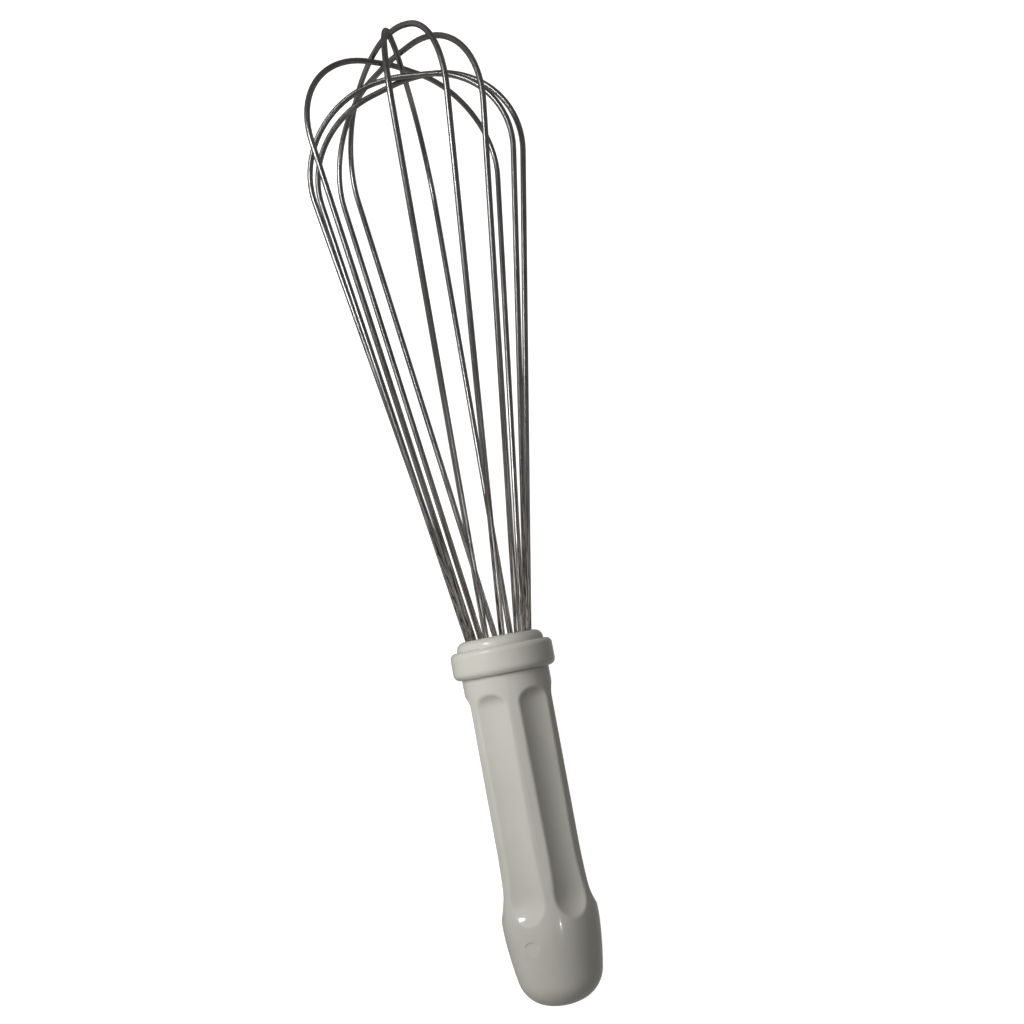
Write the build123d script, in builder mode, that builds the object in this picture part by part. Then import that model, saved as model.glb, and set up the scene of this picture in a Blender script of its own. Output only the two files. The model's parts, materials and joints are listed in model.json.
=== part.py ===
from build123d import *
from math import atan, cos, degrees, radians, sin
import os

# Balloon whisk: six bowed stainless wires sealed into a moulded, fluted handle.
#
# Every piece is drawn with the whisk upright: the handle's axis is Z, the handle's mouth is at
# Z = 0, the wires rise above it and +X is the front. The finished pieces are then laid down as
# the whisk rests on a table, with the wires towards +X and the table top at Z = 0. Millimetres.

# Handle, from the mouth down to the butt
mouth_radius = 17.3
grip_radius = 16.8
swell_radius = 18.1
bulb_radius = 18.4
butt_radius = 14.6
neck_end = -12.0
grip_end = -76.0
swell_end = -98.0
bulb_height = -108.5
butt_rim = -132.4
handle_depth = 134.6
butt_fillet = 11.5

# Flutes in the grip, each the dent of a round bar with rounded-over ends
flute_count = 6
flute_radius = 17.0
flute_floor = 14.7
flute_top = -16.6
flute_bottom = -106.5
flute_top_fillet = 6.0
flute_bottom_fillet = 14.0
first_flute = 32.5
flute_edge_fillet = 2.0

# Round moulding mark on the bulb, in line with a flute
mark_azimuth = first_flute - 360 / flute_count
mark_radius = 3.8
mark_depth = 0.4
mark_height = -111.5

# Collar band round the mouth
collar_radius = 20.3
collar_width = 10.9
collar_top_fillet = 2.3
collar_bottom_fillet = 2.7

# Bore of the handle, from the mouth down
socket_radius = 15.2
socket_depth = 14.0
core_radius = 13.6
core_depth = 32.0
cavity_radius = 9.0
cavity_depth = 126.0
cavity_fillet = 4.0

# Plug that closes the mouth, with a flared hole for each leg
plug_head = 3.8
plug_head_fillet = 3.4
flare_radius = 1.55
flare_depth = 1.3

# Anchor plate in the resin, and the dam under it
plate_top = -19.0
plate_thickness = 1.5
plate_opening = 6.0
dam_thickness = 2.0

# Wires
wire_radius = 1.2
leg_count = 12
hole_step = 360 / leg_count
entry_radius = 12.2
first_hole = -23.5
shoulder_bend = 38.0
crown_bend = 56.0
entry_bend = 12.0
hook_bend = 3.0
hook_length = 5.0
leg_depth = 24.0

# How each bow sits over its own two holes, in order round the plug: the turn about the axis
# in degrees, how far its middle is swayed to the front and to the side, how far its shoulders
# reach out from that middle, their height over the plug, the tilt that lifts one shoulder and
# lowers the other, and the height of its crown.
bows = [
    (18, 7.5, 2.5, 54.0, 231.5, 1.5, 248.0),
    (23, 4.0, -5.0, 52.0, 233.5, -1.5, 261.0),
    (7, 1.0, -1.0, 55.0, 244.0, 0.5, 248.5),
    (10, 0.5, -1.5, 51.0, 235.0, -5.0, 241.0),
    (-17, -1.5, 4.0, 51.0, 233.5, 4.0, 240.5),
    (-1, -7.5, 0.0, 53.0, 246.5, -1.0, 251.5),
]

# The whisk at rest on a table: the azimuth that faces up, and the slope of its axis, degrees
rest_azimuth = 7.1
rest_slope = 4.25


def around(radius, azimuth, height):
    """The point at this radius, azimuth in degrees and height about the whisk's axis."""
    return Vector(radius * cos(radians(azimuth)), radius * sin(radians(azimuth)), height)


def bend_wire(first_leg, bow):
    """One wire: a hooked leg, a bow over the balloon and the second hooked leg."""
    turn, front, side, reach, shoulder, tilt, crown = bow
    second_leg = first_leg + 180
    middle = Vector(front, side, plug_head)
    arm = around(reach, first_leg + turn, tilt)
    rise = Vector(0, 0, shoulder)
    points = [
        around(entry_radius - hook_length, first_leg, -leg_depth),
        around(entry_radius, first_leg, -leg_depth),
        around(entry_radius, first_leg, plug_head),
        middle + rise + arm,
        middle + Vector(0, 0, crown),
        middle + rise - arm,
        around(entry_radius, second_leg, plug_head),
        around(entry_radius, second_leg, -leg_depth),
        around(entry_radius - hook_length, second_leg, -leg_depth),
    ]
    leg_bends = [hook_bend, entry_bend]
    bends = leg_bends + [shoulder_bend, crown_bend, shoulder_bend] + leg_bends[::-1]
    with BuildPart() as wire:
        with BuildLine() as run:
            FilletPolyline(*points, radius=bends)
        with BuildSketch(run.line ^ 0):
            Circle(wire_radius)
        sweep()
    return wire.part


wires = [bend_wire(first_hole + hole_step * number, bow) for number, bow in enumerate(bows)]

with BuildPart() as flute_bar:
    with BuildSketch(Plane.XY.offset(flute_bottom)):
        with Locations((flute_floor + flute_radius, 0)):
            Circle(flute_radius)
    extrude(amount=flute_top - flute_bottom)
    end_rims = flute_bar.edges().filter_by(GeomType.CIRCLE).sort_by(Axis.Z)
    fillet(end_rims[-1], flute_top_fillet)
    fillet(end_rims[0], flute_bottom_fillet)

with BuildPart() as handle_shell:
    with BuildSketch(Plane.XZ):
        with BuildLine():
            mouth = Line((0, 0), (mouth_radius, 0))
            neck = Line(mouth @ 1, (mouth_radius, neck_end))
            grip = Line(neck @ 1, (grip_radius, grip_end))
            swell = TangentArc(grip @ 1, (swell_radius, swell_end), tangent=grip % 1)
            bulb = TangentArc(swell @ 1, (bulb_radius, bulb_height), tangent=swell % 1)
            side = TangentArc(bulb @ 1, (butt_radius, butt_rim), tangent=bulb % 1)
            butt = TangentArc((0, -handle_depth), side @ 1, tangent=(1, 0))
            Line(butt @ 0, (0, 0))
        outline = make_face()
        fillet(outline.vertices().sort_by_distance(side @ 1)[0], butt_fillet)
    revolve(axis=Axis.Z)
    with PolarLocations(0, flute_count, start_angle=first_flute):
        add(flute_bar.part, mode=Mode.SUBTRACT)
    fillet(handle_shell.edges(Select.LAST), flute_edge_fillet)
    mark_plane = Plane(
        origin=around(bulb_radius - mark_depth, mark_azimuth, mark_height),
        x_dir=(0, 0, 1),
        z_dir=around(1, mark_azimuth, 0),
    )
    with BuildSketch(mark_plane):
        Circle(mark_radius)
    extrude(amount=bulb_radius, mode=Mode.SUBTRACT)
    with BuildSketch(Plane.XZ):
        with BuildLine():
            Polyline(
                (0, 0),
                (socket_radius, 0),
                (socket_radius, -socket_depth),
                (core_radius, -socket_depth),
                (core_radius, -core_depth),
                (cavity_radius, -core_depth),
                (cavity_radius, -cavity_depth),
                (0, -cavity_depth),
                close=True,
            )
        bore = make_face()
        fillet(bore.vertices().sort_by_distance((cavity_radius, -cavity_depth))[0], cavity_fillet)
    revolve(axis=Axis.Z, mode=Mode.SUBTRACT)

with BuildPart() as collar_band:
    with BuildSketch(Plane.XY.offset(-collar_width)):
        Circle(collar_radius)
        Circle(mouth_radius, mode=Mode.SUBTRACT)
    extrude(amount=collar_width)
    outer_rims = collar_band.edges().filter_by(GeomType.CIRCLE).sort_by(SortBy.RADIUS)[-2:]
    fillet(outer_rims.sort_by(Axis.Z)[-1], collar_top_fillet)
    fillet(outer_rims.sort_by(Axis.Z)[0], collar_bottom_fillet)

with BuildPart() as wire_plug:
    with BuildSketch(Plane.XY.offset(-socket_depth)):
        Circle(socket_radius)
    extrude(amount=socket_depth)
    with BuildSketch(Plane.XY):
        Circle(mouth_radius)
    extrude(amount=plug_head)
    fillet(wire_plug.faces().sort_by(Axis.Z)[-1].edges(), plug_head_fillet)
    with Locations(Plane.XY.offset(plug_head)):
        with PolarLocations(entry_radius, leg_count, start_angle=first_hole):
            CounterSinkHole(
                wire_radius,
                flare_radius,
                counter_sink_angle=2 * degrees(atan((flare_radius - wire_radius) / flare_depth)),
            )

with BuildPart() as anchor_plate:
    with BuildSketch(Plane.XY.offset(plate_top - plate_thickness)):
        Circle(core_radius)
        Circle(plate_opening, mode=Mode.SUBTRACT)
        with PolarLocations(entry_radius, leg_count, start_angle=first_hole):
            Circle(wire_radius, mode=Mode.SUBTRACT)
    extrude(amount=plate_thickness)

with BuildPart() as resin_dam:
    with BuildSketch(Plane.XY.offset(-core_depth)):
        Circle(core_radius)
    extrude(amount=dam_thickness)

with BuildPart() as resin_core:
    with BuildSketch(Plane.XY.offset(dam_thickness - core_depth)):
        Circle(core_radius)
    extrude(amount=core_depth - dam_thickness - socket_depth)
    add(anchor_plate.part, mode=Mode.SUBTRACT)
    add(wires, mode=Mode.SUBTRACT)

pieces = {
    "handle_shell": handle_shell.part,
    "collar_band": collar_band.part,
    "wire_plug": wire_plug.part,
    "anchor_plate": anchor_plate.part,
    "resin_core": resin_core.part,
    "resin_dam": resin_dam.part,
}
pieces |= {f"wire_loop_{number}": wire for number, wire in enumerate(wires, start=1)}

# Laid down: the rest azimuth turns to the top, and the axis leans over and slopes up from the
# handle to the balloon. The middle of the whisk then goes over the origin.
slope = radians(rest_slope)
table_plane = Plane(
    origin=(0, 0, 0),
    x_dir=(-sin(slope), 0, cos(slope)),
    z_dir=(cos(slope), 0, sin(slope)),
)
laid_down = table_plane.location * Rotation(0, 0, -rest_azimuth)
box = Compound(piece.moved(laid_down) for piece in pieces.values()).bounding_box()
onto_table = Pos(-box.center().X, -box.center().Y, -box.min.Z) * laid_down

os.makedirs("parts", exist_ok=True)
for name, piece in pieces.items():
    placed = piece.moved(onto_table)
    placed.label = name
    export_step(placed, f"parts/{name}.step")

print("box", box.size)
print("collar band middle", (onto_table * Pos(0, 0, -collar_width / 2)).position)
print("mouth", onto_table.position)
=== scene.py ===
"""Looks, light and camera for the balloon whisk. Metres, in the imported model's own frame."""

import json
import math

import bpy
from mathutils import Matrix, Quaternion, Vector

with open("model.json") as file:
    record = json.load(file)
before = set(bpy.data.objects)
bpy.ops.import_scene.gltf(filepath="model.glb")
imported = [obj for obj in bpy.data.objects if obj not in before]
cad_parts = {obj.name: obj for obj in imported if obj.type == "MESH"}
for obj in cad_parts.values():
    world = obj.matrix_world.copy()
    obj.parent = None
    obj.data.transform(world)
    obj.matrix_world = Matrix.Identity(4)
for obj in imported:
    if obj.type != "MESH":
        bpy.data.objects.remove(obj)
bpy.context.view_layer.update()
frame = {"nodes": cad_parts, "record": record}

nodes = frame["nodes"]
mounts = {mount["name"]: mount for mount in frame["record"]["mounts"]}

# The whisk's own axis, from the handle up to the balloon, and the point of it between the feet
# of the wires, just over the plug, from which the camera and the lamps are set out
BAND = mounts["collar_band_outside"]
BAND_TO_FEET = 0.01035
AXIS = -Vector(BAND["axis"]).normalized()
FEET = Vector(BAND["pos_m"]) + AXIS * BAND_TO_FEET

# Camera: its turn about the axis from straight above, its distance from the axis, how far along
# the axis from the wires' feet it stands (towards the balloon), and how it is turned in the hand
CAMERA_TURN = math.radians(7.1)
CAMERA_DISTANCE = 0.400
CAMERA_ALONG = -0.008
CAMERA_PITCH = math.radians(-7.73)
CAMERA_YAW = math.radians(-2.036)
CAMERA_ROLL = math.radians(-10.45)
SENSOR_WIDTH = 36.0
FOCAL_SHARE = 0.981
NEAR_CLIP = 0.01

# Square to the axis: straight up from the table, and towards the camera
STRAIGHT_UP = (Vector((0, 0, 1)) - AXIS * AXIS.z).normalized()
FRONT = Quaternion(AXIS, -CAMERA_TURN) @ STRAIGHT_UP

# Lamps: the turn about the axis from the camera to the left, how far along the axis from the
# wires' feet the lamp faces it, its distance from the axis, its size and its power in watts
KEY = dict(turn=math.radians(37), along=0.145, distance=0.38, size=0.32, power=2.22)
WINDOW = dict(turn=math.radians(41), along=0.345, distance=0.45, size=0.14, power=0.85)
LAMP = dict(turn=math.radians(-20), along=-0.38, distance=1.4, size=0.05, power=0.8)

# The studio round the whisk: its strength below and above the horizon, blended over a band
STUDIO_COLOUR = (1.0, 0.965, 0.90, 1.0)
STUDIO_BELOW = 0.30
STUDIO_ABOVE = 0.13
STUDIO_BLEND = 0.15

# Floor: half its width, the squares along a side, and the greys of its mottle
FLOOR_HALF = 3.0
FLOOR_STEPS = 12
FLOOR_TINTS = [(0.3, (0.30, 0.30, 0.30)), (0.7, (0.34, 0.34, 0.34))]

# Light and dark tints of the mouldings and the castings
HANDLE_TINTS = ((0.525, 0.518, 0.472), (0.495, 0.488, 0.444))
BAND_TINTS = ((0.53, 0.523, 0.477), (0.50, 0.493, 0.449))
PLUG_TINTS = ((0.515, 0.509, 0.468), (0.48, 0.474, 0.434))
RESIN_TINTS = ((0.55, 0.47, 0.30), (0.44, 0.37, 0.22))
DAM_TINTS = ((0.40, 0.40, 0.38), (0.33, 0.33, 0.31))
ROLLED_STEEL = [(0.3, (0.42, 0.42, 0.41)), (0.7, (0.56, 0.56, 0.55))]

# Wires: the legs fan out from a point this far under their feet, and the painted highlight streaks
# at their feet fade into the painted dark reflection over the balloon between these two distances
# over them
WIRE_COUNT = 6
LEG_RAYS = 0.070
PAINTED_HIGHLIGHTS_FULL = 0.015
PAINTED_HIGHLIGHTS_GONE = 0.110
# Painted shade: a dark base colour over the balloon that stands in for dark reflections in the
# steel
WIRE_PAINTED_SHADE = [
    (0.30, (0.27, 0.267, 0.267)),
    (0.55, (0.37, 0.368, 0.368)),
    (0.75, (0.48, 0.479, 0.479)),
]
# Painted highlights: bright streaks with dark lines between them, painted into the wires' colour at
# their feet
WIRE_PAINTED_HIGHLIGHTS = [
    (0.42, (0.15, 0.146, 0.142)),
    (0.49, (0.62, 0.60, 0.59)),
    (0.55, (1.0, 0.965, 0.945)),
]

# Most of a noise's values lie in this span
NOISE_SPAN = (0.3, 0.7)

# The colour sockets of a Mix node, which share their names with its other sockets
MIX_FIRST = 6
MIX_SECOND = 7
MIX_RESULT = 2


# --- camera ---------------------------------------------------------------------------------

def make_camera():
    """A close camera over the whisk, with the balloon at the top of the picture."""
    right = AXIS.cross(FRONT)
    spot = FEET + FRONT * CAMERA_DISTANCE + AXIS * CAMERA_ALONG
    upright = Matrix((right, -AXIS, -FRONT))
    turn = (
        Matrix.Rotation(CAMERA_ROLL, 3, "Z")
        @ Matrix.Rotation(CAMERA_YAW, 3, "Y")
        @ Matrix.Rotation(CAMERA_PITCH, 3, "X")
    )
    seen = turn @ upright
    columns = Matrix((seen[0], -seen[1], -seen[2])).transposed()
    data = bpy.data.cameras.new("camera")
    data.sensor_width = SENSOR_WIDTH
    data.lens = SENSOR_WIDTH * FOCAL_SHARE
    data.clip_start = NEAR_CLIP
    camera = bpy.data.objects.new("camera", data)
    camera.matrix_world = Matrix.Translation(spot) @ columns.to_4x4()
    bpy.context.scene.collection.objects.link(camera)
    bpy.context.scene.camera = camera


# --- materials ------------------------------------------------------------------------------

def map_range(tree, value, span, result):
    """Maps this span of a value to a range of results, and holds the ends."""
    node = tree.nodes.new("ShaderNodeMapRange")
    node.inputs["From Min"].default_value, node.inputs["From Max"].default_value = span
    node.inputs["To Min"].default_value, node.inputs["To Max"].default_value = result
    tree.links.new(value, node.inputs["Value"])
    return node.outputs["Result"]


class Shader:
    """A material's node tree with short ways to add and join nodes."""

    def __init__(self, name):
        self.material = bpy.data.materials.new(name)
        self.material.use_nodes = True
        self.tree = self.material.node_tree
        self.tree.nodes.clear()
        self.surface = self.add("ShaderNodeBsdfPrincipled")
        output = self.add("ShaderNodeOutputMaterial")
        self.join(self.surface.outputs["BSDF"], output.inputs["Surface"])
        self.place = self.add("ShaderNodeTexCoord").outputs["Object"]

    def add(self, kind, **settings):
        node = self.tree.nodes.new(kind)
        for key, value in settings.items():
            setattr(node, key, value)
        return node

    def join(self, source, target):
        self.tree.links.new(source, target)

    def feed(self, **sources):
        """Joins outputs to the surface's sockets, with _ for each space in a socket's name."""
        for key, source in sources.items():
            self.join(source, self.surface.inputs[key.replace("_", " ")])

    def set(self, **values):
        """Sets values on the surface's sockets, with _ for each space in a socket's name."""
        for key, value in values.items():
            self.surface.inputs[key.replace("_", " ")].default_value = value

    def stretched(self, scale):
        """The object's coordinates, scaled by a vector."""
        mapping = self.add("ShaderNodeMapping")
        mapping.inputs["Scale"].default_value = scale
        self.join(self.place, mapping.inputs["Vector"])
        return mapping.outputs["Vector"]

    def rays(self, apex):
        """How far along the axis a place is from this apex, and its ray from there."""
        offset = self.add("ShaderNodeVectorMath", operation="SUBTRACT")
        offset.inputs[1].default_value = apex
        self.join(self.place, offset.inputs[0])
        along = self.add("ShaderNodeVectorMath", operation="DOT_PRODUCT")
        along.inputs[1].default_value = AXIS
        self.join(offset.outputs["Vector"], along.inputs[0])
        share = self.add("ShaderNodeMath", operation="DIVIDE")
        share.inputs[0].default_value = 1.0
        self.join(along.outputs["Value"], share.inputs[1])
        ray = self.add("ShaderNodeVectorMath", operation="SCALE")
        self.join(offset.outputs["Vector"], ray.inputs[0])
        self.join(share.outputs["Value"], ray.inputs["Scale"])
        return along.outputs["Value"], ray.outputs["Vector"]

    def noise(self, scale, detail=3.0, roughness=0.5, place=None):
        node = self.add("ShaderNodeTexNoise")
        node.inputs["Scale"].default_value = scale
        node.inputs["Detail"].default_value = detail
        node.inputs["Roughness"].default_value = roughness
        self.join(place or self.place, node.inputs["Vector"])
        return node.outputs["Fac"]

    def ramp(self, factor, stops):
        """Turns a noise into colours, from a list of positions and colours."""
        node = self.add("ShaderNodeValToRGB")
        ramp = node.color_ramp
        while len(ramp.elements) < len(stops):
            ramp.elements.new(0.5)
        for element, (position, colour) in zip(ramp.elements, stops):
            element.position = position
            element.color = (*colour, 1.0)
        self.join(factor, node.inputs["Fac"])
        return node.outputs["Color"]

    def mix(self, factor, first, second):
        """Goes from the first colour to the second as the factor goes from 0 to 1."""
        node = self.add("ShaderNodeMix", data_type="RGBA")
        self.join(factor, node.inputs["Factor"])
        self.join(first, node.inputs[MIX_FIRST])
        self.join(second, node.inputs[MIX_SECOND])
        return node.outputs[MIX_RESULT]

    def spread(self, factor, low, high):
        """Turns a noise into a range of values."""
        return map_range(self.tree, factor, NOISE_SPAN, (low, high))

    def bump(self, height, strength, distance, under=None):
        node = self.add("ShaderNodeBump")
        node.inputs["Strength"].default_value = strength
        node.inputs["Distance"].default_value = distance
        self.join(height, node.inputs["Height"])
        if under is not None:
            self.join(under, node.inputs["Normal"])
        return node.outputs["Normal"]


def moulded_plastic(name, light, dark):
    """Glossy warm grey-white moulding: a faint flow mottle, soft waviness and fine scuffs."""
    s = Shader(name)
    mottle = s.noise(38.0, 4.0, 0.55)
    scuffs = s.noise(900.0, 2.0, 0.6, s.stretched((0.12, 1.0, 1.0)))
    wave = s.bump(s.noise(120.0, 1.0, 0.4), 0.18, 0.0004)
    grain = s.bump(s.noise(2600.0, 2.0, 0.5), 0.10, 0.00005, wave)
    s.feed(
        Base_Color=s.ramp(mottle, [(0.32, dark), (0.68, light)]),
        Roughness=s.spread(scuffs, 0.15, 0.21),
        Normal=grain,
    )
    s.set(
        IOR=1.5,
        Coat_Weight=0.5,
        Coat_Roughness=0.035,
        Subsurface_Weight=0.06,
        Subsurface_Radius=(1.0, 0.8, 0.6),
        Subsurface_Scale=0.002,
    )
    return s.material


def polished_wire(name):
    """Drawn stainless wire with painted reflections in its colour: a smooth painted dark reflection
    over the balloon, and brighter painted highlight streaks at its feet.
    """
    s = Shader(name)
    reach, ray = s.rays(FEET - AXIS * LEG_RAYS)
    # The wires' base colour is painted: a dark reflection over the balloon and bright highlight
    # streaks at the feet
    painted_shade = s.ramp(s.noise(55.0, 5.0, 0.6), WIRE_PAINTED_SHADE)
    # Painted highlight streaks, and the mask that fades them out up the legs
    painted_highlights = s.ramp(s.noise(270.0, 2.0, 0.55, ray), WIRE_PAINTED_HIGHLIGHTS)
    painted_highlight_mask = map_range(s.tree, reach, (LEG_RAYS + PAINTED_HIGHLIGHTS_FULL, LEG_RAYS + PAINTED_HIGHLIGHTS_GONE), (1.0, 0.0))
    drawn = s.noise(600.0, 3.0, 0.6, ray)
    s.feed(
        Base_Color=s.mix(painted_highlight_mask, painted_shade, painted_highlights),
        Roughness=s.spread(drawn, 0.26, 0.34),
        Normal=s.bump(drawn, 0.01, 0.00003),
    )
    s.set(Metallic=1.0, Specular_Tint=(0.45, 0.44, 0.43, 1.0))
    return s.material


def stamped_steel(name):
    """Rolled sheet steel, with its grain along Y."""
    s = Shader(name)
    rolled = s.noise(1500.0, 3.0, 0.6, s.stretched((1.0, 0.03, 1.0)))
    s.feed(
        Base_Color=s.ramp(rolled, ROLLED_STEEL),
        Roughness=s.spread(rolled, 0.28, 0.42),
        Normal=s.bump(rolled, 0.2, 0.00005),
    )
    s.set(Metallic=1.0)
    return s.material


def cast_resin(name, light, dark):
    """Cloudy casting with a slightly uneven skin."""
    s = Shader(name)
    cloud = s.noise(220.0, 5.0, 0.6)
    s.feed(
        Base_Color=s.ramp(cloud, [(0.3, dark), (0.7, light)]),
        Roughness=s.spread(s.noise(700.0), 0.35, 0.5),
        Normal=s.bump(cloud, 0.3, 0.0002),
    )
    s.set(IOR=1.54)
    return s.material


def pale_floor(name):
    """A faintly mottled floor that glows white."""
    s = Shader(name)
    s.feed(Base_Color=s.ramp(s.noise(9.0, 3.0, 0.5), FLOOR_TINTS))
    s.set(Roughness=0.9, Emission_Strength=1.0, Emission_Color=(1, 1, 1, 1))
    return s.material


def dress(node, material):
    """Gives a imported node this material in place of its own."""
    mesh = nodes[node].data
    mesh.materials.clear()
    mesh.materials.append(material)


def dress_all():
    dress("handle_shell", moulded_plastic("handle_moulding", *HANDLE_TINTS))
    dress("collar_band", moulded_plastic("band_moulding", *BAND_TINTS))
    dress("wire_plug", moulded_plastic("plug_moulding", *PLUG_TINTS))
    dress("anchor_plate", stamped_steel("stamped_plate"))
    dress("resin_core", cast_resin("core_resin", *RESIN_TINTS))
    dress("resin_dam", cast_resin("dam_board", *DAM_TINTS))
    wire = polished_wire("polished_wire")
    for number in range(1, WIRE_COUNT + 1):
        dress(f"wire_loop_{number}", wire)


# --- floor and light ------------------------------------------------------------------------

def make_floor():
    """A wide pale floor under the whisk, which neither lights it nor shows in its reflections."""
    mesh = bpy.data.meshes.new("floor")
    line = [-FLOOR_HALF + 2 * FLOOR_HALF * k / FLOOR_STEPS for k in range(FLOOR_STEPS + 1)]
    points = [(x, y, 0.0) for y in line for x in line]
    row = FLOOR_STEPS + 1
    faces = [
        (j * row + i, j * row + i + 1, (j + 1) * row + i + 1, (j + 1) * row + i)
        for j in range(FLOOR_STEPS)
        for i in range(FLOOR_STEPS)
    ]
    mesh.from_pydata(points, [], faces)
    mesh.materials.append(pale_floor("pale_floor"))
    floor = bpy.data.objects.new("floor", mesh)
    bpy.context.scene.collection.objects.link(floor)
    floor.visible_diffuse = False
    floor.visible_glossy = False


def soft_light(name, turn, along, distance, size, power, glossy, diffuse):
    """A square lamp that faces the whisk's axis, and lights surfaces, shows in them or both."""
    aim = FEET + AXIS * along
    spot = aim + Quaternion(AXIS, -turn) @ FRONT * distance
    data = bpy.data.lights.new(name, "AREA")
    data.shape = "SQUARE"
    data.size = size
    data.energy = power
    light = bpy.data.objects.new(name, data)
    light.location = spot
    light.rotation_euler = (aim - spot).to_track_quat("-Z", "Y").to_euler()
    light.visible_glossy = glossy
    light.visible_diffuse = diffuse
    bpy.context.scene.collection.objects.link(light)


def make_light():
    """A dim warm studio, a soft key light for the shading and two lamps for the highlights."""
    world = bpy.data.worlds.new("studio")
    world.use_nodes = True
    tree = world.node_tree
    background = tree.nodes["Background"]
    background.inputs["Color"].default_value = STUDIO_COLOUR
    direction = tree.nodes.new("ShaderNodeTexCoord")
    split = tree.nodes.new("ShaderNodeSeparateXYZ")
    tree.links.new(direction.outputs["Generated"], split.inputs["Vector"])
    strength = map_range(
        tree, split.outputs["Z"], (-STUDIO_BLEND, STUDIO_BLEND), (STUDIO_BELOW, STUDIO_ABOVE)
    )
    tree.links.new(strength, background.inputs["Strength"])
    bpy.context.scene.world = world
    soft_light("key", **KEY, glossy=False, diffuse=True)
    soft_light("window", **WINDOW, glossy=True, diffuse=False)
    soft_light("lamp", **LAMP, glossy=True, diffuse=False)


make_camera()
dress_all()
make_floor()
make_light()
bpy.context.scene.view_settings.view_transform = "Standard"
